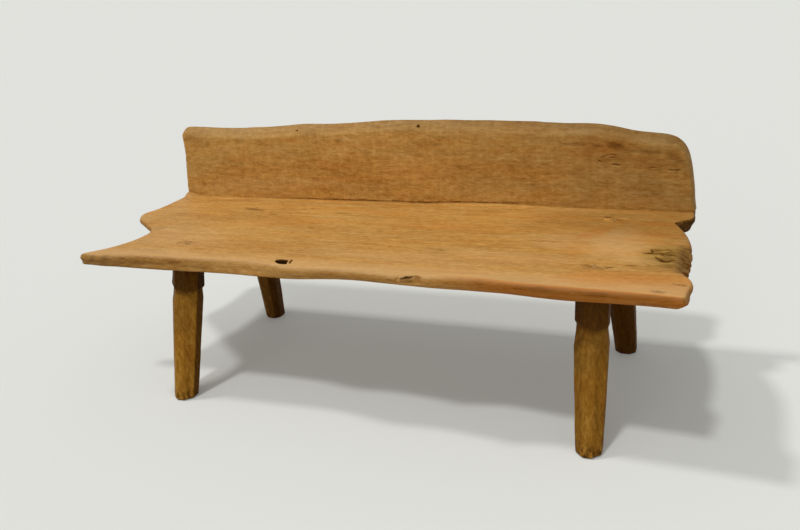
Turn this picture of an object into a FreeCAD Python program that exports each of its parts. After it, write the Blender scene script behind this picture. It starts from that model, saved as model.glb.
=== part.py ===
import FreeCAD, Part
import os
import Sketcher

# Live-edge bench: a broad seat slab, a low back board standing on its rear margin, and four
# splayed legs tenoned through the seat.  Millimetres.  +X runs along the bench, +Y to the back,
# +Z up.  The origin is on the floor under the middle of the bench.

Vector = FreeCAD.Vector

# Driving sizes: name, value, meaning
SIZES = (
    ("seat_length", 1806, "seat slab, end to end"),
    ("seat_depth", 672, "seat slab, front to back"),
    ("seat_height", 450, "floor to seat top"),
    ("slab_thickness", 45, "seat slab"),
    ("belly_drop", 14, "seat top down to the slab's widest line"),
    ("brow_drop", 5, "seat top down to the start of the soft upper edge"),
    ("lower_edge_rise", 16, "slab underside up to the lower edge line"),
    ("lower_edge_set", 4, "lower edge line behind the widest line, at least"),
    ("lower_edge_lean", 0.3, "share of the lower wane that the lower edge line takes"),
    ("back_height", 266, "seat top to the crest of the back"),
    ("back_thickness", 44, "back board"),
    ("back_end_set", 25, "back board's ends inside the seat's ends"),
    ("crest_set", 28, "back board's face to its crest line"),
    ("rear_edge_set", 5, "softening of the back board's rear edges"),
    ("tenon_width", 62, "tenon along the bench"),
    ("tenon_depth", 30, "tenon across the bench"),
    ("tenon_gap", 0.15, "clearance around a tenon in its mortise"),
    ("wedge_head", 6, "wedge thickness at the seat top"),
    ("wedge_tip", 1.6, "wedge thickness at its tip"),
    ("wedge_length", 36, "wedge, driven down from the seat top"),
    ("wedge_gap", 0.1, "clearance between a wedge and its kerf"),
    ("neck_waist", 8, "neck narrower than the block above it"),
    ("neck_drop", 7, "block's lower edge down to the neck"),
    ("foot_ease", 5, "chamfer around the foot"),
    ("dowel_radius", 10, "dowels between seat and back"),
    ("dowel_rise", 60, "dowel above the seat top"),
    ("dowel_gap", 0.2, "clearance around a dowel"),
    ("dowel_end_set", 150, "first and last dowel inside the back's ends"),
    ("knot_from_middle", -165, "knothole along the bench"),
    ("knot_from_front", 66, "knothole behind the seat's front line"),
    ("knot_length", 40, "knothole along the grain"),
    ("knot_width", 26, "knothole across the grain"),
    ("knot_deepness", 30, "knothole below the seat top"),
    ("split_from_middle", 226, "split in the front edge, along the bench"),
    ("split_from_front", 19, "split's mouth behind the seat's front line"),
    ("split_drop", 12, "split's middle below the seat top"),
    ("split_length", 52, "split along the grain"),
    ("split_width", 9, "split's mouth"),
    ("split_deepness", 16, "split into the edge"),
)

# Legs: name, end side (-1 left, 1 right), edge side (-1 front, 1 rear), then in mm the tenon's
# distance from the seat's end and from its long edge, the foot's spread outwards past the tenon
# along and across the bench, the height of the block's lower edge, the block's width, the height
# and width of the swell, the foot's width, and the chamfer along the corners
LEGS = (
    ("front_left", -1, -1, 365, 161, 6, 135, 330, 90, 287, 89, 69, 28),
    ("front_right", 1, -1, 235, 165, 10, 137, 318, 81, 262, 83, 64, 26),
    ("rear_left", -1, 1, 388, 164, 56, 113, 326, 77, 262, 75, 60, 19),
    ("rear_right", 1, 1, 237, 137, 27, 72, 324, 77, 250, 78, 60, 18),
)
LEG_SIZES = ("from_end", "from_edge", "spread_along", "spread_across", "block_base", "block_width",
             "swell_height", "swell_width", "foot_width", "chamfer")

DOWEL_COUNT = 5

# Seat slab's live edges.  Each row: share of the way along that side, share of the slab's length
# or depth by which the edge stands back, then in mm the upper wane and the lower wane.
SEAT_LEFT = (
    (1.000, 0.0105, 0, 0),
    (0.814, 0.0122, 4, 10),
    (0.741, 0.0105, 4, 10),
    (0.670, 0.0061, 4, 10),
    (0.604, 0.0000, 5, 12),
    (0.548, 0.0083, 6, 20),
    (0.496, 0.0305, 6, 22),
    (0.432, 0.0615, 6, 24),
    (0.381, 0.0825, 5, 20),
    (0.332, 0.0897, 4, 12),
    (0.265, 0.0891, 4, 12),
    (0.205, 0.0830, 6, 12),
    (0.147, 0.0726, 6, 6),
    (0.086, 0.0530, 7, 4),
)
SEAT_FRONT = (
    (0.0365, 0.0298, 10, 23),
    (0.072, 0.0208, 12, 26),
    (0.133, 0.0461, 13, 11),
    (0.213, 0.0565, 14, 6),
    (0.302, 0.0685, 14, 5),
    (0.391, 0.0521, 14, 13),
    (0.436, 0.0298, 14, 31),
    (0.492, 0.0402, 14, 42),
    (0.585, 0.0283, 14, 48),
    (0.642, 0.0238, 14, 46),
    (0.702, 0.0476, 14, 26),
    (0.761, 0.0312, 14, 35),
    (0.818, 0.0208, 14, 32),
    (0.922, 0.0119, 13, 38),
    (0.9945, 0.0000, 9, 46),
)
SEAT_RIGHT_TIP = (
    (0.098, 0.0011, 6, 5),
    (0.180, 0.0022, 5, 8),
    (0.220, 0.0127, 4, 10),
)
SEAT_RIGHT_MIDDLE = (
    (0.220, 0.0127, 4, 10),
    (0.270, 0.0088, 16, 8),
    (0.315, 0.0080, 24, 6),
    (0.377, 0.0074, 26, 4),
    (0.439, 0.0076, 18, 4),
    (0.525, 0.0101, 9, 4),
    (0.604, 0.0145, 10, 4),
    (0.691, 0.0230, 10, 4),
    (0.788, 0.0400, 4, 12),
)
SEAT_RIGHT_LOBE = (
    (0.788, 0.0400, 4, 12),
    (0.818, 0.0300, 4, 18),
    (0.845, 0.0178, 5, 18),
    (0.905, 0.0143, 5, 12),
    (1.000, 0.0155, 0, 0),
)

# Back board's outline, from its lower left corner over the crest to its lower right corner.
# Ends: share of the back's height, share of the board's length inside its end, wane in mm.
# Top: share of the board's length, share of the back's height below the crest, wane in mm.
BACK_LEFT = (
    (0.000, 0.0000, 8),
    (0.237, 0.0034, 8),
    (0.459, 0.0074, 8),
    (0.624, 0.0103, 8),
    (0.786, 0.0091, 9),
    (0.864, 0.0103, 11),
    (0.911, 0.0154, 15),
)
BACK_TOP = (
    (0.030, 0.0692, 22),
    (0.072, 0.0780, 28),
    (0.120, 0.0879, 30),
    (0.180, 0.0839, 30),
    (0.237, 0.0651, 30),
    (0.280, 0.0432, 30),
    (0.340, 0.0412, 30),
    (0.390, 0.0323, 30),
    (0.440, 0.0095, 30),
    (0.500, 0.0000, 30),
    (0.600, 0.0045, 30),
    (0.680, 0.0164, 30),
    (0.740, 0.0313, 30),
    (0.790, 0.0500, 30),
    (0.836, 0.0536, 30),
    (0.870, 0.0859, 29),
    (0.900, 0.1316, 28),
    (0.946, 0.1663, 24),
)
BACK_RIGHT = (
    (0.792, 0.0325, 16),
    (0.700, 0.0188, 11),
    (0.564, 0.0114, 8),
    (0.312, 0.0055, 7),
    (0.000, 0.0000, 6),
)


document = FreeCAD.newDocument("bench")

sheet = document.addObject("Spreadsheet::Sheet", "Sizes")


def add_size(row, name, value, meaning):
    """One named size on its own row of the sheet."""
    sheet.set("A%d" % row, meaning)
    sheet.set("B%d" % row, str(value))
    sheet.setAlias("B%d" % row, name)


row_number = 1
for size_name, size_value, size_meaning in SIZES:
    add_size(row_number, size_name, size_value, size_meaning)
    row_number += 1
for leg in LEGS:
    for leg_size, leg_value in zip(LEG_SIZES, leg[3:]):
        words = "%s leg, %s" % (leg[0].replace("_", " "), leg_size.replace("_", " "))
        add_size(row_number, leg[0] + "_" + leg_size, leg_value, words)
        row_number += 1
document.recompute()


def size(name):
    """Value of a named size, in mm."""
    return float(getattr(sheet, name))


def bind(item, **expressions):
    """Tie properties of an object to named sizes; a double underscore stands for a dot."""
    for path, expression in expressions.items():
        item.setExpression(path.replace("__", "."), expression)


# Live-edge outlines

def inward(points, index, side):
    """Unit vector into the outline at one of its points, square to the neighbours' chord.
    The side is 1 where the outline runs counter-clockwise, and -1 where it runs clockwise."""
    before = points[index - 1]
    after = points[(index + 1) % len(points)]
    chord = (after - before).normalize()
    return Vector(-chord.y, chord.x, 0) * side


def spline_edge(points):
    """Smooth edge through the points."""
    curve = Part.BSplineCurve()
    curve.interpolate(points)
    return curve.toShape()


def ruled_solid(wires):
    """Solid through a stack of flat wires that have matching edges."""
    return Part.makeLoft(wires, True, True)


# Seat slab

def seat_runs():
    """The slab's outline as runs of (x, y, upper wane, lower wane), rear left corner first,
    along the left end, the front and the right end."""
    length = size("seat_length")
    depth = size("seat_depth")

    def place(along, across, wanes):
        return ((along - 0.5) * length, (across - 0.5) * depth) + wanes

    runs = [[place(row[1], row[0], row[2:]) for row in SEAT_LEFT],
            [place(row[0], row[1], row[2:]) for row in SEAT_FRONT]]
    for side in (SEAT_RIGHT_TIP, SEAT_RIGHT_MIDDLE, SEAT_RIGHT_LOBE):
        runs.append([place(1 - row[1], row[0], row[2:]) for row in side])
    return runs


def seat_wire(height, inset_of):
    """The slab's outline at one height, moved inwards at each point by inset_of(upper, lower)."""
    runs = seat_runs()
    chain = []
    for run in runs:
        for row in run:
            if not chain or (row[0], row[1]) != (chain[-1][0], chain[-1][1]):
                chain.append(row)
    flat = [Vector(row[0], row[1], 0) for row in chain]
    moved = {}
    for index, row in enumerate(chain):
        at_rear = index in (0, len(chain) - 1)
        step = inward(flat, index, 1) * (0 if at_rear else inset_of(row[2], row[3]))
        moved[(row[0], row[1])] = flat[index] + step + Vector(0, 0, height)
    edges = []
    previous = None
    for run in runs:
        points = [moved[(row[0], row[1])] for row in run]
        if previous is not None and (previous - points[0]).Length > 1e-6:
            edges.append(Part.makeLine(previous, points[0]))
        edges.append(spline_edge(points))
        previous = points[-1]
    edges.append(Part.makeLine(previous, moved[(chain[0][0], chain[0][1])]))
    return Part.Wire(edges)


def seat_blank_shape():
    """Slab with soft upper edges and a lower wane, before anything is cut into it."""
    top = size("seat_height")
    under = top - size("slab_thickness")
    lower_set = size("lower_edge_set")
    lean = size("lower_edge_lean")
    levels = (
        (under, lambda up, low: max(low, lower_set)),
        (under + size("lower_edge_rise"), lambda up, low: lower_set + lean * low),
        (top - size("belly_drop"), lambda up, low: 0),
        (top - size("brow_drop"), lambda up, low: up / 3),
        (top, lambda up, low: up),
    )
    return ruled_solid([seat_wire(height, rule) for height, rule in levels])


# Back board

def back_rows():
    """The board's outline as (x, z above the seat, wane), lower left corner first."""
    length = size("seat_length") - 2 * size("back_end_set")
    height = size("back_height")
    rows = [(inside, rise, wane) for rise, inside, wane in BACK_LEFT]
    rows += [(along, 1 - drop, wane) for along, drop, wane in BACK_TOP]
    rows += [(1 - inside, rise, wane) for rise, inside, wane in BACK_RIGHT]
    return [((along - 0.5) * length, rise * height, wane) for along, rise, wane in rows]


def back_wire(across, inset_of):
    """The board's outline at one place across its thickness, moved inwards by inset_of(wane)."""
    rows = back_rows()
    flat = [Vector(row[0], row[1], 0) for row in rows]
    points = []
    for index, row in enumerate(rows):
        if index == 0:
            direction = Vector(1, 0, 0)
        elif index == len(rows) - 1:
            direction = Vector(-1, 0, 0)
        else:
            direction = inward(flat, index, -1)
        place = flat[index] + direction * inset_of(row[2])
        points.append(Vector(place.x, across, place.y + size("seat_height")))
    return Part.Wire([spline_edge(points), Part.makeLine(points[-1], points[0])])


def back_blank_shape():
    """Board with a bevelled, waney crest, before its dowel holes."""
    rear = size("seat_depth") / 2
    face = rear - size("back_thickness")
    crest = size("crest_set")
    levels = (
        (face, lambda wane: wane),
        (face + 0.4 * crest, lambda wane: 0.45 * wane),
        (face + crest, lambda wane: 0),
        (rear, lambda wane: size("rear_edge_set")),
    )
    return ruled_solid([back_wire(across, rule) for across, rule in levels])


def add_blank(name, shape):
    """A live-edge blank, whose form no sketch feature gives."""
    blank = document.addObject("Part::Feature", name)
    blank.Shape = shape
    return blank


# Sketched sections of the legs and wedges

def origin_plane(body, role):
    """One of the body's own origin planes."""
    for feature in body.Origin.OriginFeatures:
        if feature.Role == role:
            return feature
    raise ValueError("no plane " + role)


def add_section(body, name, corners, across, along, height):
    """Closed sketch on the body's floor plane, moved to its height and along the leg's lean.
    Corners are pairs of expressions, and the sketch is tied to them."""
    sketch = body.newObject("Sketcher::SketchObject", name)
    sketch.AttachmentSupport = [(origin_plane(body, "XY_Plane"), "")]
    sketch.MapMode = "FlatFace"
    bind(sketch, AttachmentOffset__Base__x=along, AttachmentOffset__Base__y=across,
         AttachmentOffset__Base__z=height)
    count = len(corners)
    guess = [Vector(x_side, y_side, 0) for x_side, y_side, _, _ in corners]
    for index in range(count):
        sketch.addGeometry(Part.LineSegment(guess[index], guess[(index + 1) % count]), False)
    for index in range(count):
        sketch.addConstraint(Sketcher.Constraint("Coincident", index, 2, (index + 1) % count, 1))
    for index, (x_side, y_side, x_size, y_size) in enumerate(corners):
        for kind, side, expression in (("DistanceX", x_side, x_size), ("DistanceY", y_side, y_size)):
            sign = -1 if side < 0 else 1
            number = sketch.addConstraint(Sketcher.Constraint(kind, -1, 1, index, 1, float(side)))
            sketch.setExpression("Constraints[%d]" % number, "%d * (%s)" % (sign, expression))
    return sketch


def octagon(width, chamfer):
    """Corners of a square of that width with its corners cut off."""
    half = "(%s) / 2" % width
    flat = "(%s) / 2 - (%s)" % (width, chamfer)
    turns = ((2, -1), (2, 1), (1, 2), (-1, 2), (-2, 1), (-2, -1), (-1, -2), (1, -2))
    return [(x_side * 10, y_side * 10, half if abs(x_side) == 2 else flat,
             half if abs(y_side) == 2 else flat) for x_side, y_side in turns]


def rectangle(width, depth):
    """Corners of a rectangle of that width and depth."""
    sides = ((1, -1), (1, 1), (-1, 1), (-1, -1))
    return [(x_side * 10, y_side * 10, "(%s) / 2" % width, "(%s) / 2" % depth) for x_side, y_side in sides]


def add_loft(body, name, sections, kind="PartDesign::AdditiveLoft"):
    """Straight-sided loft through the sections, lowest first."""
    loft = body.newObject(kind, name)
    loft.Profile = sections[0]
    loft.Sections = sections[1:]
    loft.Ruled = True
    for section in sections:
        section.Visibility = False
    return loft


UNDERSIDE = "Sizes.seat_height - Sizes.slab_thickness"
TOP = "Sizes.seat_height"


class Lean:
    """Where one leg stands and how it leans, as expressions of the named sizes."""

    def __init__(self, name, end_side, edge_side):
        self.name = name
        part = "Sizes." + name + "_"
        self.lean_x = "%d * %sspread_along" % (-end_side, part)
        self.lean_y = "%d * %sspread_across" % (-edge_side, part)
        self.foot_x = "%d * (Sizes.seat_length / 2 - %sfrom_end + %sspread_along)" % (end_side, part, part)
        self.foot_y = "%d * (Sizes.seat_depth / 2 - %sfrom_edge + %sspread_across)" % (edge_side, part, part)
        self.block_base = part + "block_base"
        self.block_width = part + "block_width"
        self.swell_height = part + "swell_height"
        self.swell_width = part + "swell_width"
        self.foot_width = part + "foot_width"
        self.chamfer = part + "chamfer"

    def place(self, body):
        """Stand the body on the leg's foot."""
        bind(body, Placement__Base__x=self.foot_x, Placement__Base__y=self.foot_y)

    def section(self, body, name, corners, height):
        """A section centred on the leaning axis at that height."""
        share = "(%s) / Sizes.seat_height" % height
        across = "%s * %s" % (self.lean_y, share)
        along = "%s * %s" % (self.lean_x, share)
        return add_section(body, name, corners, across, along, height)


LEANS = [Lean(leg[0], leg[1], leg[2]) for leg in LEGS]


def add_mortise(lean):
    """Leaning rectangular hole for one tenon, run past both faces of the slab."""
    body = document.addObject("PartDesign::Body", lean.name + "_mortise")
    lean.place(body)
    corners = rectangle("Sizes.tenon_width + 2 * Sizes.tenon_gap", "Sizes.tenon_depth + 2 * Sizes.tenon_gap")
    low = lean.section(body, lean.name + "_mortise_low", corners, UNDERSIDE + " - 5")
    high = lean.section(body, lean.name + "_mortise_high", corners, TOP + " + 5")
    add_loft(body, lean.name + "_mortise_hole", [low, high])
    return body


def wedge_corners(thickness, extra):
    """A wedge's section across the bench, as thick as asked for."""
    return rectangle("%s + 2 * (%s)" % (thickness, extra), "Sizes.tenon_depth")


def add_leg(lean):
    """Chamfered, splayed leg: foot, taper, swell, neck, block, tenon and the wedge's kerf."""
    body = document.addObject("PartDesign::Body", lean.name + "_leg")
    body.Label = lean.name + "_leg"
    lean.place(body)
    name = lean.name + "_"
    chamfer = lean.chamfer
    foot_chamfer = "%s * %s / %s" % (chamfer, lean.foot_width, lean.swell_width)
    neck = "%s - Sizes.neck_waist" % lean.block_width
    sections = (
        ("sole", octagon("%s - 2 * Sizes.foot_ease" % lean.foot_width, foot_chamfer), "0"),
        ("ankle", octagon(lean.foot_width, foot_chamfer), "Sizes.foot_ease"),
        ("swell", octagon(lean.swell_width, chamfer), lean.swell_height),
        ("neck", octagon(neck, chamfer), lean.block_base + " - Sizes.neck_drop"),
        ("block", octagon(lean.block_width, chamfer), lean.block_base),
        ("shoulder", octagon(lean.block_width, chamfer), UNDERSIDE),
    )
    shaft = [lean.section(body, name + word, corners, height) for word, corners, height in sections]
    add_loft(body, name + "shaft", shaft)
    tenon_corners = rectangle("Sizes.tenon_width", "Sizes.tenon_depth")
    tenon = [lean.section(body, name + word, tenon_corners, height)
             for word, height in (("tenon_root", UNDERSIDE), ("tenon_end", TOP))]
    add_loft(body, name + "tenon", tenon)
    kerf = [lean.section(body, name + "kerf_floor", wedge_corners("Sizes.wedge_tip", "Sizes.wedge_gap"),
                         TOP + " - Sizes.wedge_length - Sizes.wedge_gap"),
            lean.section(body, name + "kerf_mouth", wedge_corners("Sizes.wedge_head", "Sizes.wedge_gap"), TOP)]
    add_loft(body, name + "kerf", kerf, "PartDesign::SubtractiveLoft")
    return body


def add_wedge(lean):
    """Thin wedge that spreads one tenon, flush with the seat top."""
    body = document.addObject("PartDesign::Body", lean.name + "_wedge")
    body.Label = lean.name + "_wedge"
    lean.place(body)
    tip = lean.section(body, lean.name + "_wedge_tip", wedge_corners("Sizes.wedge_tip", "0"),
                       TOP + " - Sizes.wedge_length")
    head = lean.section(body, lean.name + "_wedge_head", wedge_corners("Sizes.wedge_head", "0"), TOP)
    add_loft(body, lean.name + "_wedge_taper", [tip, head])
    return body


# Dowels between the seat and the back

def add_dowel(name, index, extra_radius, extra_rise, extra_depth):
    """One upright round, at its place in the evenly spaced row."""
    dowel = document.addObject("Part::Cylinder", "%s_%d" % (name, index + 1))
    span = "(Sizes.seat_length - 2 * Sizes.back_end_set - 2 * Sizes.dowel_end_set)"
    share = index / (DOWEL_COUNT - 1) - 0.5
    bind(dowel, Radius="Sizes.dowel_radius + (%s)" % extra_radius,
         Height="Sizes.slab_thickness + Sizes.dowel_rise + (%s) + (%s)" % (extra_rise, extra_depth),
         Placement__Base__x="%s * %s" % (share, span),
         Placement__Base__y="Sizes.seat_depth / 2 - Sizes.back_thickness / 2",
         Placement__Base__z=UNDERSIDE + " - (%s)" % extra_depth)
    return dowel


# Knothole and split

def add_hollow(name, centre, length, width, deepness, upright):
    """Egg-shaped hollow, with its mouth in the seat top or in the front edge."""
    hollow = document.addObject("Part::Ellipsoid", name)
    half = (length + " / 2", width + " / 2", deepness)
    along, across, up = half if upright else (half[0], half[2], half[1])
    bind(hollow, Radius1=up, Radius2=along, Radius3=across,
         Placement__Base__x=centre[0], Placement__Base__y=centre[1], Placement__Base__z=centre[2])
    hollow.Angle1 = -90
    hollow.Angle2 = 90
    hollow.Angle3 = 360
    return hollow


def add_cut(name, blank, tools):
    """The blank with the tools cut out of it."""
    group = document.addObject("Part::MultiFuse", name + "_cutouts")
    group.Shapes = tools
    cut = document.addObject("Part::Cut", name)
    cut.Base = blank
    cut.Tool = group
    cut.Label = name
    return cut


knot = add_hollow("knothole", ("Sizes.knot_from_middle", "Sizes.knot_from_front - Sizes.seat_depth / 2", TOP),
                  "Sizes.knot_length", "Sizes.knot_width", "Sizes.knot_deepness", True)
split = add_hollow("edge_split", ("Sizes.split_from_middle", "Sizes.split_from_front - Sizes.seat_depth / 2",
                                  TOP + " - Sizes.split_drop"),
                   "Sizes.split_length", "Sizes.split_width", "Sizes.split_deepness", False)
mortises = [add_mortise(lean) for lean in LEANS]
seat_holes = [add_dowel("seat_dowel_hole", index, "Sizes.dowel_gap", "0", "5") for index in range(DOWEL_COUNT)]
back_holes = [add_dowel("back_dowel_hole", index, "Sizes.dowel_gap", "Sizes.dowel_gap", "0")
              for index in range(DOWEL_COUNT)]

nodes = [
    add_cut("seat_slab", add_blank("seat_blank", seat_blank_shape()), mortises + seat_holes + [knot, split]),
    add_cut("back_board", add_blank("back_blank", back_blank_shape()), back_holes),
]
nodes += [add_leg(lean) for lean in LEANS]
nodes += [add_wedge(lean) for lean in LEANS]

dowels = document.addObject("Part::Compound", "back_dowels")
dowels.Links = [add_dowel("back_dowel", index, "0", "0", "0") for index in range(DOWEL_COUNT)]
dowels.Label = "back_dowels"
nodes.append(dowels)

document.recompute()

for item in document.Objects:
    if "Invalid" in item.State or "Error" in item.State:
        raise RuntimeError("failed object: " + item.Label)
for node in nodes:
    if node.Shape.isNull() or not node.Shape.isValid():
        raise RuntimeError("bad shape: " + node.Label)

os.makedirs("parts", exist_ok=True)
for node in nodes:
    node.Shape.exportStep(os.path.join("parts", node.Label + ".step"))
    box = node.Shape.optimalBoundingBox()
    print("%-18s %2d solids %9.1f cm3  x %7.1f..%7.1f  y %7.1f..%7.1f  z %6.1f..%6.1f" % (
        node.Label, len(node.Shape.Solids), node.Shape.Volume / 1000,
        box.XMin, box.XMax, box.YMin, box.YMax, box.ZMin, box.ZMax))
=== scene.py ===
"""Looks of a live-edge slab bench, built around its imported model.

Metres, in the model's own frame: +X along the bench, +Y to the back, +Z up.
"""

import itertools
import math

import bmesh
import bpy
import numpy as np
from mathutils import Matrix, Vector


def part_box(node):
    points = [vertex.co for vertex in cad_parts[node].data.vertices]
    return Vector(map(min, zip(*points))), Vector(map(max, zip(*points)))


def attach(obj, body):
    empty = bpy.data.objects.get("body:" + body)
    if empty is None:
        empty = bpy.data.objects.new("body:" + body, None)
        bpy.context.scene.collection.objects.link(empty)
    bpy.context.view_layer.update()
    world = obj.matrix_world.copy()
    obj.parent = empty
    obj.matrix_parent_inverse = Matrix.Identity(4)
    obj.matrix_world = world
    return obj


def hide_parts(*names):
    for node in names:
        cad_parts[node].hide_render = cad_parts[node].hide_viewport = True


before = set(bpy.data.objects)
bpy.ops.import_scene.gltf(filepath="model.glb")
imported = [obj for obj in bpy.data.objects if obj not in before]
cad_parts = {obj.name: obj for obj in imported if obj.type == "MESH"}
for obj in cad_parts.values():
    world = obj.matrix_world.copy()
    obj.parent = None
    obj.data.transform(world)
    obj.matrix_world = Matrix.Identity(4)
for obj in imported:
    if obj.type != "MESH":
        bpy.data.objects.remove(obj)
scene = bpy.context.scene
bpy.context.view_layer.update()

SEAT_LOW, SEAT_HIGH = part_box("seat_slab")
BACK_LOW, BACK_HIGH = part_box("back_board")
SEAT_TOP = SEAT_HIGH.z
BACK_FACE = BACK_LOW.y
LEG_NAMES = ("front_left", "front_right", "rear_left", "rear_right")


# Camera

CAMERA_PLACE = (0.9925, -2.0979, 1.2132)
CAMERA_TURN = 23.70
CAMERA_DIP = 20.65
CAMERA_ROLL = -5.14
FRAME_WIDTH = 800
FOCAL_PIXELS = 826
SENSOR_WIDTH = 36


def add_camera():
    """Camera at the photograph's place, turned left, tipped down and rolled."""
    data = bpy.data.cameras.new("camera")
    data.sensor_width = SENSOR_WIDTH
    data.lens = FOCAL_PIXELS * SENSOR_WIDTH / FRAME_WIDTH
    data.clip_end = 200
    camera = bpy.data.objects.new("camera", data)
    turn = Matrix.Rotation(math.radians(CAMERA_TURN), 4, "Z")
    dip = Matrix.Rotation(math.radians(90 - CAMERA_DIP), 4, "X")
    roll = Matrix.Rotation(math.radians(CAMERA_ROLL), 4, "Z")
    camera.matrix_world = Matrix.Translation(CAMERA_PLACE) @ turn @ dip @ roll
    scene.collection.objects.link(camera)
    scene.camera = camera


add_camera()


# Shader helpers

WHITE = (1.0, 1.0, 1.0, 1.0)


def add_node(tree, kind, settings=(), **inputs):
    """New shader node. Inputs are sockets to link or plain values, with underscores for spaces."""
    made = tree.nodes.new("ShaderNode" + kind)
    for key, value in dict(settings).items():
        setattr(made, key, value)
    for key, value in inputs.items():
        connect(tree, made.inputs[key.replace("_", " ")], value)
    return made


def connect(tree, socket, value):
    """Link a socket to another, or set its plain value."""
    if isinstance(value, bpy.types.NodeSocket):
        tree.links.new(value, socket)
    else:
        socket.default_value = value


def math_node(tree, operation, *values):
    """Result of one Math node."""
    made = tree.nodes.new("ShaderNodeMath")
    made.operation = operation
    for index, value in enumerate(values):
        connect(tree, made.inputs[index], value)
    return made.outputs[0]


def vector_node(tree, operation, first, second):
    """Result of one Vector Math node."""
    made = tree.nodes.new("ShaderNodeVectorMath")
    made.operation = operation
    connect(tree, made.inputs[0], first)
    connect(tree, made.inputs[1], second)
    return made.outputs[0]


def mix_colours(tree, share, first, second, blend="MIX"):
    """Colour of one Mix node."""
    made = tree.nodes.new("ShaderNodeMix")
    made.data_type = "RGBA"
    made.blend_type = blend
    connect(tree, made.inputs[0], share)
    connect(tree, made.inputs[6], first)
    connect(tree, made.inputs[7], second)
    return made.outputs[2]


def mix_shaders(tree, share, first, second):
    """Output of one Mix Shader node."""
    made = tree.nodes.new("ShaderNodeMixShader")
    connect(tree, made.inputs[0], share)
    connect(tree, made.inputs[1], first)
    connect(tree, made.inputs[2], second)
    return made.outputs[0]


def remap(tree, value, low, high, to_low=0.0, to_high=1.0):
    """A value moved smoothly from one range to another."""
    made = add_node(tree, "MapRange", {"interpolation_type": "SMOOTHSTEP"}, Value=value, From_Min=low,
                    From_Max=high, To_Min=to_low, To_Max=to_high)
    return made.outputs[0]


def noise_node(tree, vector, scale, detail=2.0, roughness=0.5):
    """Noise stretched by a scale along each axis."""
    stretched = vector_node(tree, "MULTIPLY", vector, scale)
    made = add_node(tree, "TexNoise", Vector=stretched, Scale=1.0, Detail=detail, Roughness=roughness)
    return made.outputs["Fac"]


def mask(tree, name):
    """A mask that is stored on the mesh's vertices."""
    return add_node(tree, "Attribute", {"attribute_name": name}).outputs["Fac"]


def linear(red, green, blue):
    """Linear colour of an 8-bit screen colour."""
    channels = [value / 255 for value in (red, green, blue)]
    return tuple(c / 12.92 if c <= 0.04045 else ((c + 0.055) / 1.055) ** 2.4 for c in channels) + (1.0,)


def new_material(name):
    """Empty node material: (material, tree, Principled node)."""
    material = bpy.data.materials.new(name)
    material.use_nodes = True
    tree = material.node_tree
    return material, tree, tree.nodes["Principled BSDF"]


# Studio

BACKGROUND = linear(225, 226, 221)
WORLD_LIGHT = 0.36
SUN_LIGHT = 1.03
SUN_SOFTNESS = 6
# Where each sun moves the shadow of a point that is one metre up
LEFT_SUN_SHIFT = (0.57, 0.02)
FRONT_SUN_SHIFT = (0.15, 0.38)
# Weak, broad lamp from the front: the way its light travels, and its strength
FILL_TRAVEL = (0.15, 1.0, -0.40)
FILL_LIGHT = 0.40
FILL_SOFTNESS = 40
FLOOR_HALF = 60
# Share of the floor that the shadows leave pale, and its paint as the bench's underside sees it
FLOOR_GLOW = 0.15
FLOOR_BOUNCE = linear(150, 150, 146)


def seen_directly(tree):
    """1 for what the camera, a reflection or glass sees, and 0 for light on a surface."""
    path = add_node(tree, "LightPath")
    seen = math_node(tree, "MAXIMUM", path.outputs["Is Camera Ray"], path.outputs["Is Glossy Ray"])
    return math_node(tree, "MAXIMUM", seen, path.outputs["Is Transmission Ray"])


def add_world():
    """Even sky light, seen directly as the pale backdrop."""
    world = bpy.data.worlds.new("studio")
    world.use_nodes = True
    tree = world.node_tree
    tree.nodes.clear()
    light = add_node(tree, "Background", Color=WHITE, Strength=WORLD_LIGHT)
    backdrop = add_node(tree, "Background", Color=BACKGROUND, Strength=1.0)
    mixed = mix_shaders(tree, seen_directly(tree), light.outputs[0], backdrop.outputs[0])
    output = add_node(tree, "OutputWorld")
    connect(tree, output.inputs["Surface"], mixed)
    scene.world = world


def add_sun(name, travel, strength, softness):
    """Soft far lamp whose light travels one way."""
    data = bpy.data.lights.new(name, "SUN")
    data.energy = strength
    data.angle = math.radians(softness)
    sun = bpy.data.objects.new(name, data)
    travel = Vector(travel)
    sun.rotation_mode = "QUATERNION"
    sun.rotation_quaternion = travel.to_track_quat("-Z", "Y")
    sun.location = -3 * travel
    scene.collection.objects.link(sun)


def add_floor():
    """Wide pale floor under the bench."""
    bed = bmesh.new()
    bmesh.ops.create_grid(bed, x_segments=1, y_segments=1, size=FLOOR_HALF)
    data = bpy.data.meshes.new("floor")
    bed.to_mesh(data)
    bed.free()
    floor = bpy.data.objects.new("floor", data)
    scene.collection.objects.link(floor)
    material, tree, shader = new_material("floor_paint")
    seen = seen_directly(tree)
    connect(tree, shader.inputs["Base Color"], mix_colours(tree, seen, FLOOR_BOUNCE, BACKGROUND))
    connect(tree, shader.inputs["Roughness"], 1.0)
    connect(tree, shader.inputs["Specular IOR Level"], 0.0)
    glow = add_node(tree, "Emission", Color=BACKGROUND, Strength=1.0)
    share = math_node(tree, "MULTIPLY", seen, FLOOR_GLOW)
    mixed = mix_shaders(tree, share, shader.outputs["BSDF"], glow.outputs["Emission"])
    connect(tree, tree.nodes["Material Output"].inputs["Surface"], mixed)
    data.materials.append(material)


scene.view_settings.view_transform = "Standard"
add_world()
add_sun("left_sun", (*LEFT_SUN_SHIFT, -1.0), SUN_LIGHT, SUN_SOFTNESS)
add_sun("front_sun", (*FRONT_SUN_SHIFT, -1.0), SUN_LIGHT, SUN_SOFTNESS)
add_sun("fill_sun", FILL_TRAVEL, FILL_LIGHT, FILL_SOFTNESS)
add_floor()


# Noise and nets

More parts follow.
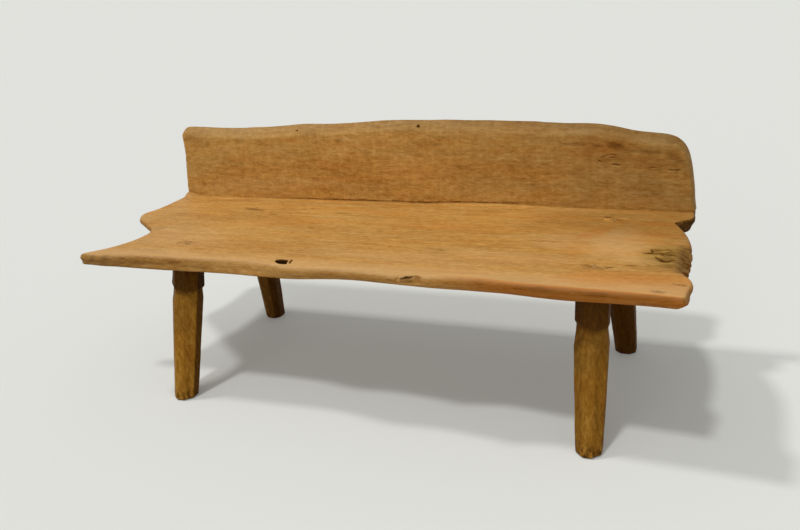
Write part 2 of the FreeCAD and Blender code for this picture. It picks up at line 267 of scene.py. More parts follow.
def lattice_noise(points, seed):
    """Smooth noise from -1 to 1 at an (n, 3) array of points, whose unit is one cell."""
    cell = np.floor(points).astype(np.int64)
    part = points - cell
    part = part * part * (3 - 2 * part)
    total = np.zeros(len(points))
    for corner in itertools.product((0, 1), repeat=3):
        key = cell + np.array(corner)
        mixed = key[:, 0] * 73856093 ^ key[:, 1] * 19349663 ^ key[:, 2] * 83492791 ^ seed * 15485863
        mixed = (mixed ^ mixed >> 13) * 1274126177
        value = ((mixed ^ mixed >> 16) & 65535) / 32767.5 - 1
        total += value * np.prod(np.where(corner, part, 1 - part), axis=1)
    return total


def rough(points, cell, seed, octaves=2):
    """Layered noise at points in metres, with cells of that size along each axis."""
    scaled = points / np.array(cell)
    total = sum(lattice_noise(scaled * 2 ** k + 17.3 * k, seed + k) / 2 ** k for k in range(octaves))
    return total / sum(1 / 2 ** k for k in range(octaves))


def smoothstep(value, low, high):
    """0 up to low, 1 from high, and a smooth rise between."""
    share = np.clip((value - low) / (high - low), 0, 1)
    return share * share * (3 - 2 * share)


def falls(value, full, gone):
    """1 up to full, 0 from gone, and a smooth fall between."""
    return smoothstep(-value, -gone, -full)


def net_of(node, name, cell):
    """New piece in the form of a CAD node, as an even net of small faces."""
    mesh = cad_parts[node].data.copy()
    bed = bmesh.new()
    bed.from_mesh(mesh)
    bmesh.ops.remove_doubles(bed, verts=bed.verts, dist=1e-6)
    bed.to_mesh(mesh)
    bed.free()
    source = bpy.data.objects.new(name + "_source", mesh)
    scene.collection.objects.link(source)
    remesh = source.modifiers.new("net", "REMESH")
    remesh.mode = "VOXEL"
    remesh.voxel_size = cell
    graph = bpy.context.evaluated_depsgraph_get()
    data = bpy.data.meshes.new_from_object(source.evaluated_get(graph), depsgraph=graph)
    bpy.data.objects.remove(source)
    data.name = name
    data.materials.clear()
    piece = bpy.data.objects.new(name, data)
    scene.collection.objects.link(piece)
    return piece


def coordinates(piece):
    """(places, normals) of the vertices, as arrays."""
    count = len(piece.data.vertices)
    places, normals = np.empty(count * 3), np.empty(count * 3)
    piece.data.vertices.foreach_get("co", places)
    piece.data.vertices.foreach_get("normal", normals)
    return places.reshape(-1, 3), normals.reshape(-1, 3)


def move_vertices(piece, places, low, high):
    """Put the vertices at new places, kept inside a box."""
    places = np.clip(places, np.array(low), np.array(high))
    piece.data.vertices.foreach_set("co", places.ravel())
    piece.data.update()


def store_masks(piece, **masks):
    """Keep named masks from 0 to 1 on the vertices."""
    for name, values in masks.items():
        layer = piece.data.attributes.new(name, "FLOAT", "POINT")
        layer.data.foreach_set("value", np.clip(values, 0, 1).astype(np.float32))


def refine(piece, near, cuts):
    """Divide the edges whose two ends are in the near mask."""
    bed = bmesh.new()
    bed.from_mesh(piece.data)
    bed.verts.ensure_lookup_table()
    edges = [edge for edge in bed.edges if near[edge.verts[0].index] and near[edge.verts[1].index]]
    bmesh.ops.subdivide_edges(bed, edges=edges, cuts=cuts, use_grid_fill=True)
    bed.to_mesh(piece.data)
    bed.free()


def spread_flat(flat):
    """Flat points as (n, 3) points for the noise."""
    return np.column_stack([flat, np.zeros(len(flat))])


def to_path(flat, path):
    """For 2-D points: distance to a bent line, and how far along it, 0 to 1, the nearest place is."""
    best = np.full(len(flat), np.inf)
    along = np.zeros(len(flat))
    steps = len(path) - 1
    for index in range(steps):
        start, end = np.array(path[index]), np.array(path[index + 1])
        run = end - start
        share = np.clip((flat - start) @ run / (run @ run), 0, 1)
        distance = np.linalg.norm(flat - start - share[:, None] * run, axis=1)
        nearer = distance < best
        best[nearer] = distance[nearer]
        along[nearer] = (index + share[nearer]) / steps
    return best, along


def crack_depth(flat, path, width, depth):
    """Depth of an uneven crack that narrows to nothing at both ends."""
    total = np.zeros(len(flat))
    near = to_path(flat, path)[0] < 2.5 * width
    close = flat[near]
    sway = 0.5 * width * rough(spread_flat(close), (0.018, 0.018, 1), 5)
    distance, along = to_path(close + np.column_stack([np.zeros(len(close)), sway]), path)
    taper = smoothstep(along, 0, 0.3) * smoothstep(1 - along, 0, 0.3)
    patchy = 0.75 + 0.45 * rough(spread_flat(close), (0.014, 0.014, 1), 7)
    half = width / 2 * (0.35 + 0.65 * taper)
    total[near] = depth * taper * patchy * np.exp(-(distance / half) ** 2)
    return total


def near_cracks(flat, cracks, reach):
    """Which points lie within reach of a crack."""
    near = np.zeros(len(flat), bool)
    for path, _, _ in cracks:
        near |= to_path(flat, path)[0] < reach
    return near


def sum_cracks(flat, cracks):
    """Depth of the deepest crack at each point."""
    depth = np.zeros(len(flat))
    for path, width, deep in cracks:
        depth = np.maximum(depth, crack_depth(flat, path, width, deep))
    return depth


def blot(flat, centre, half_length, half_width, turn):
    """Soft-edged oval mark from 0 to 1 with a ragged outline."""
    total = np.zeros(len(flat))
    near = np.linalg.norm(flat - np.array(centre), axis=1) < 1.8 * max(half_length, half_width)
    close = flat[near]
    angle = math.radians(turn)
    offset = close - np.array(centre)
    along = offset @ np.array((math.cos(angle), math.sin(angle))) / half_length
    across = offset @ np.array((-math.sin(angle), math.cos(angle))) / half_width
    ragged = 0.5 * rough(spread_flat(close), (half_length * 0.6, half_width * 0.6, 1), 11, 3)
    total[near] = 1 - smoothstep(np.hypot(along, across) + ragged, 0.3, 1.25)
    return total


def marks(flat, rows):
    """Strongest of several marks, given as centre, half length, half width, turn and strength."""
    total = np.zeros(len(flat))
    for x, y, half_length, half_width, turn, strength in rows:
        total = np.maximum(total, strength * blot(flat, (x, y), half_length, half_width, turn))
    return total


def sum_pits(flat, pits):
    """Depth of the small round holes, given as x, y, radius and depth, at each point."""
    depth = np.zeros(len(flat))
    for x, y, radius, deep in pits:
        distance = np.linalg.norm(flat - np.array((x, y)), axis=1)
        depth = np.maximum(depth, deep * np.exp(-(distance / radius) ** 4))
    return depth


def ride_as(piece, node):
    """The piece stands for a CAD node and moves with the bench."""
    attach(piece, "root")
    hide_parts(node)


# Seat slab

SEAT_CELL = 0.004
# How far the seat's edges stand out, and how far its hewn sides and underside rise and fall
SEAT_SWELL_OUT = 0.0014
SIDE_HEWN = 0.0014
UNDER_HEWN = 0.0012
# Cracks in the seat's top: points along each as (x, y), width, depth
SEAT_CRACKS = (
    (((0.760, -0.060), (0.786, -0.057), (0.801, -0.054), (0.823, -0.051), (0.868, -0.045)), 0.0085, 0.010),
    (((0.780, -0.022), (0.805, -0.028), (0.824, -0.028), (0.852, -0.020)), 0.0065, 0.007),
    (((0.800, -0.070), (0.812, -0.086), (0.825, -0.102), (0.838, -0.104), (0.860, -0.080)), 0.0100, 0.011),
    (((0.790, -0.062), (0.795, -0.042), (0.786, -0.020)), 0.0060, 0.007),
    (((0.806, -0.050), (0.826, -0.066), (0.846, -0.060), (0.872, -0.068)), 0.0060, 0.007),
    (((0.826, -0.046), (0.840, -0.034), (0.868, -0.034)), 0.0050, 0.005),
    (((0.840, -0.020), (0.862, -0.018), (0.880, -0.022)), 0.0040, 0.004),
    (((0.772, -0.124), (0.800, -0.136), (0.866, -0.146)), 0.0040, 0.004),
    (((0.686, -0.180), (0.700, -0.178), (0.722, -0.170)), 0.0040, 0.003),
    (((0.225, -0.112), (0.240, -0.119), (0.266, -0.124)), 0.0035, 0.002),
    (((-0.760, -0.037), (-0.744, -0.040), (-0.726, -0.040)), 0.0035, 0.002),
    (((0.866, -0.252), (0.886, -0.260)), 0.0035, 0.002),
    (((0.634, 0.228), (0.645, 0.224), (0.656, 0.218)), 0.0050, 0.004),
    (((0.632, 0.212), (0.644, 0.209), (0.652, 0.205)), 0.0050, 0.004),
    (((-0.137, -0.280), (-0.138, -0.268), (-0.141, -0.254)), 0.0070, 0.008),
    (((-0.132, -0.280), (-0.122, -0.276), (-0.108, -0.276)), 0.0035, 0.002),
)
# Marks are given as centre, half length, half width, turn in degrees and strength
SEAT_STAINS = (
    (0.646, 0.218, 0.012, 0.009, 0, 0.85),
    (0.672, 0.198, 0.040, 0.016, -28, 0.60),
    (0.665, -0.173, 0.036, 0.014, -14, 0.62),
    (0.702, -0.173, 0.018, 0.006, 10, 0.85),
    (-0.512, 0.167, 0.050, 0.012, -11, 0.60),
    (-0.484, 0.158, 0.020, 0.008, -20, 0.60),
    (-0.415, 0.120, 0.022, 0.008, -8, 0.45),
    (-0.540, -0.172, 0.040, 0.014, 4, 0.38),
    (-0.309, 0.198, 0.012, 0.007, 0, 0.40),
    (-0.180, 0.160, 0.040, 0.010, 0, 0.45),
    (-0.219, 0.012, 0.012, 0.006, 0, 0.35),
    (-0.146, -0.183, 0.012, 0.006, 0, 0.35),
    (0.245, -0.118, 0.026, 0.008, -8, 0.45),
    (0.510, -0.009, 0.060, 0.007, 0, 0.40),
    (0.757, -0.151, 0.018, 0.007, 0, 0.55),
    (0.835, -0.305, 0.020, 0.010, -8, 0.55),
    (0.878, -0.257, 0.020, 0.006, -10, 0.60),
    (0.820, -0.052, 0.060, 0.012, 4, 0.60),
    (0.834, -0.098, 0.045, 0.014, -6, 0.60),
    (0.800, -0.040, 0.014, 0.016, 0, 0.55),
    (-0.735, -0.070, 0.012, 0.034, -35, 0.20),
)
# Stains on the seat's front edge, by x and height above the seat's top; the marks at x 0.186 and 0.232 are
# painted shade in and beside the split
EDGE_STAINS = (
    (-0.784, -0.010, 0.012, 0.010, 0, 0.45),
    (-0.740, -0.009, 0.016, 0.012, 0, 0.38),
    (-0.640, -0.026, 0.030, 0.006, 0, 0.3),
    (-0.420, -0.030, 0.045, 0.007, 0, 0.35),
    (-0.100, -0.024, 0.060, 0.006, 0, 0.3),
    (0.150, -0.030, 0.050, 0.006, -4, 0.5),
    (0.186, -0.011, 0.020, 0.0026, 6, 0.9),
    (0.232, -0.008, 0.030, 0.005, 8, 0.7),
    (0.330, -0.032, 0.060, 0.006, 0, 0.3),
    (0.560, -0.010, 0.050, 0.007, 0, 0.35),
    (0.700, -0.012, 0.040, 0.006, 0, 0.35),
    (0.820, -0.030, 0.040, 0.008, 0, 0.35),
)
SEAT_GLOWS = (
    (0.640, 0.100, 0.030, 0.110, -25, 0.5),
    (0.780, 0.170, 0.090, 0.018, -6, 0.55),
    (0.800, 0.080, 0.090, 0.018, -6, 0.55),
    (0.770, 0.030, 0.080, 0.012, -6, 0.4),
    (0.600, -0.060, 0.050, 0.060, 0, 0.3),
    (0.760, -0.250, 0.190, 0.060, 0, 0.5),
    (0.450, 0.180, 0.180, 0.025, 0, 0.3),
    (0.250, 0.080, 0.220, 0.050, 0, 0.3),
    (-0.300, 0.060, 0.160, 0.040, 0, 0.3),
    (-0.050, 0.190, 0.200, 0.020, 0, 0.3),
)
SEAT_PALES = (
    (-0.620, -0.120, 0.180, 0.110, 0, 0.35),
    (0.700, 0.000, 0.110, 0.110, 0, 0.7),
    (0.150, -0.190, 0.300, 0.045, 0, 0.35),
    (0.450, -0.150, 0.200, 0.050, 0, 0.35),
    (0.780, -0.100, 0.090, 0.035, 0, 0.5),
    (0.560, 0.000, 0.130, 0.070, 0, 0.4),
    (-0.1425, -0.268, 0.016, 0.0035, 75, 1.0),
    (0.238, -0.300, 0.030, 0.006, 4, 0.8),
)
# Worn slope at the seat's right end: where it starts, its front and rear ends, its fall and its chips
WORN_END = (0.858, -0.190, 0.020)
WORN_FALL = 0.007
CHIP_RISE = 0.003
# Weathered patch before that slope: its length, its depth, and where its front and rear ends fade
WEATHER_LENGTH = 0.11
WEATHER_DEPTH = 0.0022
WEATHER_FRONT = (-0.17, -0.13)
WEATHER_REAR = (-0.03, 0.02)
# Rear right lobe with dark end grain and painted shade on its notch wall: its start along the bench and to
# the back, and its hidden end
LOBE_ALONG = (0.795, 0.825)
LOBE_BACK = (0.09, 0.13)
LOBE_HIDDEN = (0.295, 0.325)
# Browner wood of the seat, along the bench and to the back: its rear right part, and its right end
DIM_REAR_ALONG = (0.30, 0.75)
DIM_REAR_BACK = (-0.05, 0.15)
DIM_END_ALONG = (0.74, 0.86)
DIM_END_BACK = (-0.22, -0.15)
# Margin that curls up against the back: its width, the room above the slab, and its dark seam's width
SEAM_RISE_REACH = 0.028
SEAM_ROOM = 0.02
SEAM_WIDTH = 0.004
# Foremost left corner of the seat's underside: its place, how far it is pulled, and the pull's reach
TIP_PLACE = (-0.819, -0.300)
TIP_PULL = (-0.033, 0.007, 0.0)
TIP_REACH = 0.055
# Knothole: middle, half length and half width, and how far its front side leans to the right
KNOT_PLACE = (-0.165, -0.270)
KNOT_HALF = (0.020, 0.013)
KNOT_LEAN = 0.014
# Split in the front edge: middle along the bench, depth below the top, half length, lift, slope and
# widening
SPLIT_X = 0.226
SPLIT_DROP = 0.012
SPLIT_HALF = 0.027
SPLIT_LIFT = 0.005
SPLIT_SLOPE = 0.17
SPLIT_WIDEN = 0.35
# Painted light and shade on the seat's front edge along the bench, as factors on its colour below its
# belly and on its brow, and the upward slants between which the belly turns into the brow, and the brow
# into the top
EDGE_PLACES = (-0.75, -0.60, -0.29, -0.08, 0.05, 0.31, 0.41, 0.51, 0.60, 0.78, 0.86)
EDGE_BELOW = (1.00, 1.05, 1.42, 1.42, 1.40, 1.60, 1.31, 1.30, 1.20, 1.29, 1.35)
EDGE_BROW = (0.63, 0.68, 0.78, 0.72, 0.72, 0.86, 0.64, 0.56, 0.54, 0.50, 0.56)
BELLY_TO_BROW = (-0.15, 0.20)
BROW_TO_TOP = (0.76, 0.985)


def seam_rise(x):
    """How far the seat's rear margin curls up against the back, along the bench."""
    left_curl = 0.012 * falls(x, -0.87, -0.80)
    middle_swell = 0.006 * smoothstep(x, 0.05, 0.22) * falls(x, 0.36, 0.52)
    return (left_curl + middle_swell + 0.002) * smoothstep(x, -0.892, -0.866)


def top_swell(places):
    """Long shallow swells that a worn seat top has."""
    return 0.0009 * rough(places, (0.22, 0.07, 0.07), 21) + 0.0004 * rough(places, (0.10, 0.016, 0.03), 24)


def top_masks(places, up, cracks):
    """Masks of what is seen on the seat's top, for its slab and for the tenons' ends."""
    flat = places[:, :2]
    # Band along the seat's front: wear, with a painted sheen.
    worn = 0.8 * falls(places[:, 1], -0.290, -0.215)
    return {
        # Stains, and painted shade in the cracks.
        "stain": np.maximum(marks(flat, SEAT_STAINS) * up, smoothstep(cracks, 0.0004, 0.003)),
        "glow": marks(flat, SEAT_GLOWS) * up,
        "pale": np.maximum(marks(flat, SEAT_PALES), worn) * up,
    }


def bend_knothole(places):
    """Moves that turn the round knothole into a lens with a flat rear side and a pointed front."""
    along = (places[:, 0] - KNOT_PLACE[0]) / KNOT_HALF[0]
    across = (places[:, 1] - KNOT_PLACE[1]) / KNOT_HALF[1]
    hold = falls(np.hypot(along, across), 1.1, 2.6) * smoothstep(places[:, 2], 0.410, 0.425)
    move = np.zeros_like(places)
    move[:, 0] = hold * KNOT_LEAN * np.clip(-across, 0, 1.5)
    flatten = np.where(across > 0, 0.25 + 0.45 * np.clip(along, -1, 1) ** 2, 0.42)
    move[:, 1] = hold * KNOT_HALF[1] * flatten * np.clip(across, -1.5, 1.5)
    return move


def lift_split(places):
    """Rise of the split in the front edge, more at its right end."""
    along = places[:, 0] - SPLIT_X
    drop = SEAT_TOP - places[:, 2] - SPLIT_DROP
    hold = falls(np.abs(along), SPLIT_HALF, 1.45 * SPLIT_HALF) * falls(np.abs(drop), 0.005, 0.0118)
    hold *= falls(places[:, 1], -0.300, -0.285)
    return hold * (SPLIT_LIFT + SPLIT_SLOPE * along - SPLIT_WIDEN * drop)


def edge_light(places, normals, front):
    """Painted light and shade on the front edge: its belly is painted lighter and its brow darker than the
    top, and the far left end's left-facing side darker.
    """
    below = np.interp(places[:, 0], EDGE_PLACES, EDGE_BELOW)
    brow = np.interp(places[:, 0], EDGE_PLACES, EDGE_BROW)
    factor = below + (brow - below) * smoothstep(normals[:, 2], *BELLY_TO_BROW)
    factor += (1 - factor) * smoothstep(normals[:, 2], *BROW_TO_TOP)
    left_end = falls(normals[:, 0], -0.60, -0.25) * falls(places[:, 0], -0.75, -0.70)
    return 0.5 * (1 + (factor - 1) * front) * (1 - 0.30 * left_end)


def in_hollow(places, normals):
    """Which points lie inside the knothole or the split in the front edge."""
    x, y, z = places.T
    depth = SEAT_TOP - z
    reach = (places[:, :2] - np.array(KNOT_PLACE)) / (np.array(KNOT_HALF) + 0.0008)
    hole = ((reach ** 2).sum(axis=1) < 1) & (depth > 0.0015) & (depth < 0.034)
    split = (np.abs(x - SPLIT_X) < SPLIT_HALF) & (np.abs(depth - SPLIT_DROP) < 0.007)
    split &= (y < -0.29) & (normals[:, 1] > -0.45)
    return hole | split


def seat_zones(places, normals):
    """Shares of the seat's parts that its shape and its masks both use, by name."""
    x, y = places[:, 0], places[:, 1]
    end_x, end_front, end_rear = WORN_END
    weather = smoothstep(x, end_x - WEATHER_LENGTH, end_x) * smoothstep(y, *WEATHER_FRONT)
    return {
        "up": smoothstep(normals[:, 2], 0.4, 0.85),
        "side": 1 - np.abs(normals[:, 2]),
        "end": smoothstep(y, end_front, end_front + 0.02) * falls(y, end_rear - 0.02, end_rear),
        "weather": weather * falls(y, *WEATHER_REAR),
        "grooves": rough(places, (0.060, 0.0075, 0.02), 41, 3),
    }


def shape_seat(piece, places, normals, zones, cracks):
    """Hand-smoothed swells, hewn sides, checks, and a weathered right end."""
    x, y, z = places.T
    up, side = zones["up"], zones["side"]
    end_x = WORN_END[0]
    hewn = SIDE_HEWN * rough(places, (0.06, 0.05, 0.03), 31, 3) * side
    under = falls(normals[:, 2], -0.8, -0.3)
    hewn += UNDER_HEWN * under * rough(places, (0.15, 0.03, 0.03), 35, 3)
    worn = WEATHER_DEPTH * zones["weather"] * (0.6 + zones["grooves"])
    slope = zones["end"] * smoothstep(x, end_x - 0.004, end_x + 0.020)
    chips = zones["end"] * smoothstep(x, end_x, end_x + 0.02)
    chips *= rough(places, (0.012, 0.010, 0.012), 44, 3)
    rise = top_swell(places) * up + hewn + SEAT_SWELL_OUT * side + CHIP_RISE * chips
    moved = places + normals * rise[:, None]
    moved[:, 2] -= cracks + worn * up + WORN_FALL * slope * smoothstep(z, 0.41, 0.45)
    margin = smoothstep(y, BACK_FACE - SEAM_RISE_REACH, BACK_FACE)
    moved[:, 2] += up * seam_rise(x) * margin ** 2
    pull = falls(np.linalg.norm(places[:, :2] - np.array(TIP_PLACE), axis=1), 0.004, TIP_REACH)
    pull *= falls(z, 0.404, 0.438)
    moved += np.array(TIP_PULL) * pull[:, None]
    moved += bend_knothole(places)
    moved[:, 2] += lift_split(places)
    high = SEAT_HIGH.copy()
    high.z += SEAM_ROOM
    move_vertices(piece, moved, SEAT_LOW, high)


def mask_seat(piece, places, normals, zones, cracks):
    """Masks of the seat's stains, warm and pale patches, dark end grain, painted shade in its cracks,
    notch and hollows, and painted light and shade on its front edge.
    """
    x, y, z = places.T
    up, side, weather = zones["up"], zones["side"], zones["weather"]
    end_x = WORN_END[0]
    front = falls(normals[:, 1], -0.38, -0.10) * falls(y, -0.25, -0.22)
    seam = np.exp(-((y - BACK_FACE) / SEAM_WIDTH) ** 2)
    seam *= smoothstep(x, -0.72, -0.60) * falls(x, 0.46, 0.60)
    end_grain = zones["end"] * smoothstep(x, end_x - 0.016, end_x + 0.016)
    end_grain *= 0.75 + 0.5 * rough(places, (0.02, 0.008, 0.01), 46)
    lobe = smoothstep(x, *LOBE_ALONG) * smoothstep(y, *LOBE_BACK)
    lobe *= falls(normals[:, 1], 0.1, 0.5) * falls(y, *LOBE_HIDDEN)
    # Dark end grain and painted shade on the notch's wall, by its slant.
    notch = lobe * smoothstep(side, 0.06, 0.45)
    notch *= 0.85 + 0.35 * rough(places, (0.012, 0.02, 0.008), 48)
    deep_notch = 0.75 * lobe * smoothstep(side, 0.3, 0.8)
    deep_notch *= smoothstep(rough(places, (0.014, 0.03, 0.012), 49), -0.4, 0.3)
    worn_spot = blot(places[:, :2], (0.826, -0.068), 0.065, 0.045, 0)

    masks = top_masks(places, up, cracks)
    masks["stain"] = np.maximum.reduce([
        masks["stain"],
        marks(np.column_stack([x, z - SEAT_TOP]), EDGE_STAINS) * front,
        0.55 * seam * up,
        # Darker along the bottom of the front edge.
        0.55 * front * smoothstep(SEAT_TOP - z, 0.036, 0.045),
        end_grain,
        notch,
        0.80 * weather * smoothstep(zones["grooves"], 0.05, 0.40) * up,
    ])
    masks["glow"] = np.maximum(masks["glow"], smoothstep(x, 0.25, 0.50) * front)
    masks["rim"] = falls(normals[:, 2], 0.30, 0.85)
    masks["olive"] = np.maximum(0.8 * weather, worn_spot) * up
    masks["dim"] = np.maximum(
        smoothstep(x, *DIM_REAR_ALONG) * smoothstep(y, *DIM_REAR_BACK),
        0.85 * smoothstep(x, *DIM_END_ALONG) * smoothstep(y, *DIM_END_BACK))
    # Painted shade inside the knothole, the split and the deepest part of the notch.
    masks["hollow"] = np.maximum(in_hollow(places, normals), deep_notch)
    # Painted light and shade on the front edge, as a factor on the colour.
    masks["light"] = edge_light(places, normals, front)
    store_masks(piece, **masks)


def add_seat():
    """Slab seat, finely divided about its cracks."""
    piece = net_of("seat_slab", "seat", SEAT_CELL)
    places, normals = coordinates(piece)
    refine(piece, (normals[:, 2] > 0.5) & near_cracks(places[:, :2], SEAT_CRACKS, 0.008), 2)
    places, normals = coordinates(piece)
    zones = seat_zones(places, normals)
    cracks = sum_cracks(places[:, :2], SEAT_CRACKS) * zones["up"]
    shape_seat(piece, places, normals, zones, cracks)
    mask_seat(piece, places, normals, zones, cracks)
    ride_as(piece, "seat_slab")
    return piece


# Back board

BACK_CELL = 0.0038
# How far the back's edges stand out, and how far its adze ripple, broad waves, hewn edges and hewn
# rear face rise and fall
BACK_SWELL_OUT = 0.0012
BACK_RIPPLE = 0.0004
BACK_WAVE = 0.0007
BACK_HEWN = 0.0012
REAR_HEWN = 0.0020
# Worm holes in the back's face: x, height above the seat, radius, depth
BACK_PITS = ((0.044, 0.249, 0.0040, 0.007), (-0.390, 0.236, 0.0030, 0.004))
# The seam over the curled margin
SEAM_PLACES = (-0.72, -0.5, -0.2, 0.05, 0.22, 0.4, 0.62)
SEAM_POINTS = tuple((x, float(seam_rise(np.array(x))) + 0.0015) for x in SEAM_PLACES)
# Cracks in the back's face: points along each as (x, height above the seat), width, depth
BACK_CRACKS = (
    (SEAM_POINTS, 0.0040, 0.0022),
    (((0.070, 0.011), (0.180, 0.009), (0.330, 0.012), (0.480, 0.013)), 0.0030, 0.002),
    (((0.792, 0.125), (0.812, 0.123), (0.840, 0.122)), 0.0030, 0.003),
    (((0.740, 0.130), (0.760, 0.129), (0.787, 0.128)), 0.0025, 0.002),
    (((0.599, 0.150), (0.606, 0.147), (0.614, 0.143)), 0.0035, 0.003),
    (((0.618, 0.168), (0.640, 0.167), (0.668, 0.163)), 0.0025, 0.002),
    (((0.628, 0.158), (0.645, 0.159), (0.660, 0.156)), 0.0025, 0.002),
    (((0.636, 0.138), (0.652, 0.138), (0.675, 0.133)), 0.0040, 0.003),
    (((0.605, 0.155), (0.618, 0.160), (0.630, 0.163)), 0.0030, 0.002),
    (((0.293, 0.086), (0.310, 0.086), (0.340, 0.084)), 0.0025, 0.001),
    (((0.378, 0.081), (0.400, 0.080), (0.450, 0.080)), 0.0025, 0.001),
)
BACK_STAINS = (
    (0.540, 0.197, 0.050, 0.007, 2, 0.45),
    (0.598, 0.192, 0.024, 0.008, 0, 0.6),
    (0.655, 0.192, 0.036, 0.011, -14, 0.85),
    (0.740, 0.175, 0.060, 0.005, -2, 0.6),
    (0.815, 0.160, 0.030, 0.013, -25, 0.5),
    (0.765, 0.052, 0.020, 0.008, 0, 0.4),
    (0.740, 0.080, 0.055, 0.045, 0, 0.2),
    (0.050, 0.196, 0.060, 0.008, 0, 0.25),
    (0.180, 0.050, 0.014, 0.004, 0, 0.35),
    (0.200, 0.118, 0.050, 0.006, -8, 0.2),
    (-0.338, 0.230, 0.035, 0.010, 0, 0.22),
    (-0.235, 0.205, 0.015, 0.008, 0, 0.25),
    (-0.800, 0.215, 0.045, 0.022, 0, 0.25),
    (-0.620, 0.205, 0.030, 0.012, 0, 0.2),
    (0.020, 0.235, 0.045, 0.010, 0, 0.2),
)
BACK_GLOWS = (
    (-0.415, 0.204, 0.055, 0.010, 0, 0.55),
    (-0.280, 0.123, 0.070, 0.016, -6, 0.45),
    (-0.620, 0.140, 0.080, 0.015, 0, 0.35),
    (-0.200, 0.075, 0.120, 0.012, 0, 0.35),
    (0.600, 0.185, 0.090, 0.026, 0, 0.5),
    (0.740, 0.150, 0.090, 0.026, 0, 0.35),
    (0.150, 0.120, 0.160, 0.030, 0, 0.25),
    (0.760, 0.030, 0.080, 0.018, 0, 0.3),
    (-0.100, 0.190, 0.110, 0.012, 0, 0.35),
)
BACK_PALES = (
    (-0.700, 0.175, 0.110, 0.012, 0, 0.4),
    (-0.480, 0.170, 0.090, 0.010, -8, 0.35),
    (-0.620, 0.045, 0.220, 0.035, 0, 0.25),
    (0.250, 0.225, 0.200, 0.010, 0, 0.3),
    (0.760, 0.200, 0.080, 0.012, -10, 0.4),
    (0.560, 0.235, 0.070, 0.014, -5, 0.4),
    (-0.350, 0.062, 0.180, 0.022, 0, 0.2),
)
# Width of the strips in which the crest's height is taken
CREST_COLUMN = 0.01


def add_back():
    """Low back board with a waney crest, adze ripple and short checks in its face."""
    piece = net_of("back_board", "back", BACK_CELL)
    places, normals = coordinates(piece)
    flat = np.column_stack([places[:, 0], places[:, 2] - SEAT_TOP])
    fine = near_cracks(flat, BACK_CRACKS, 0.007) | (sum_pits(flat, BACK_PITS) > 1e-5)
    refine(piece, (normals[:, 1] < -0.5) & fine, 2)
    places, normals = coordinates(piece)
    flat = np.column_stack([places[:, 0], places[:, 2] - SEAT_TOP])
    front = falls(normals[:, 1], -0.85, -0.4)
    rear = smoothstep(normals[:, 1], 0.4, 0.85)
    side = 1 - np.abs(normals[:, 1])

    ripple = BACK_RIPPLE * rough(places, (0.018, 0.05, 0.16), 51)
    ripple += BACK_WAVE * rough(places, (0.14, 0.06, 0.05), 53)
    hewn = BACK_HEWN * rough(places, (0.07, 0.04, 0.03), 55, 3) * side
    hewn += REAR_HEWN * rear * rough(places, (0.09, 0.05, 0.045), 58, 3)
    cracks = np.maximum(sum_cracks(flat, BACK_CRACKS), sum_pits(flat, BACK_PITS)) * front
    moved = places + normals * (ripple * front + hewn + BACK_SWELL_OUT * side)[:, None]
    moved[:, 1] += cracks
    move_vertices(piece, moved, BACK_LOW, BACK_HIGH)

    x, zero = places[:, 0], np.zeros(len(places))
    column = ((x - BACK_LOW.x) / CREST_COLUMN).astype(int)
    tops = np.zeros(column.max() + 1)
    np.maximum.at(tops, column, places[:, 2])
    below = tops[column] - places[:, 2] + 0.012 * rough(places, (0.05, 1, 0.02), 61)
    # Lighter toward the crest on the front face, more to the left: partly paler wood, partly painted
    # light. The left end gets painted light.
    near_top = front * falls(below, 0.008, 0.050) * (0.15 + 0.35 * falls(x, -0.6, 0.0))
    left_end = falls(x, BACK_LOW.x, BACK_LOW.x + 0.02)
    # Painted shade on the upward-facing crest, less to the right.
    crest = smoothstep(normals[:, 2], 0.05, 0.95) * (0.74 + 0.26 * smoothstep(x, -0.7, 0.6))
    store_masks(piece, rim=zero, crest=crest, dim=smoothstep(x, -0.10, 0.80), olive=zero,
                # Stains, and painted shade in the cracks and worm holes.
                stain=np.maximum(marks(flat, BACK_STAINS) * front, smoothstep(cracks, 0.0003, 0.002)),
                glow=marks(flat, BACK_GLOWS) * front, hollow=zero,
                pale=np.maximum.reduce([marks(flat, BACK_PALES) * front, 0.5 * left_end, near_top]),
                light=zero + 0.5)
    ride_as(piece, "back_board")
    return piece


# Legs

LEG_CELL = 0.0025
# How far a leg's faces and its tenon stand out, and how far its hewn faces, its fibres and its worn
# foot rise and fall
LEG_SWELL_OUT = 0.0010
TENON_SWELL = 0.0022
LEG_HEWN = 0.0011
LEG_FIBRES = 0.0004
FOOT_WEAR = 0.0014
# How near the seat's top the tenon's end is, and how far below it the end is set
TENON_END = 0.004
TENON_SET = 0.0003
# Strongest painted shade on a leg's right side
FULL_SHADE = 0.95
# Legs: the neck's height, how far its notch tips down to the right, the painted shade over the whole leg,
# how much more painted shade its right side gets and from what slant, and the painted brightness of its
# left side and of its front
LEG_LOOKS = {
    "front_left": (0.330, 0.009, 0.0, 0.7, 0.80, 0.84, 0.84),
    "front_right": (0.318, 0.006, 0.24, 0.0, 0.5, 0.84, 0.94),
    "rear_left": (0.326, 0.0, 0.62, 0.8, 0.40, 1.0, 1.0),
    "rear_right": (0.324, 0.0, 0.95, 0.0, 0.5, 1.0, 1.0),
}
NECK_REACH = 0.022


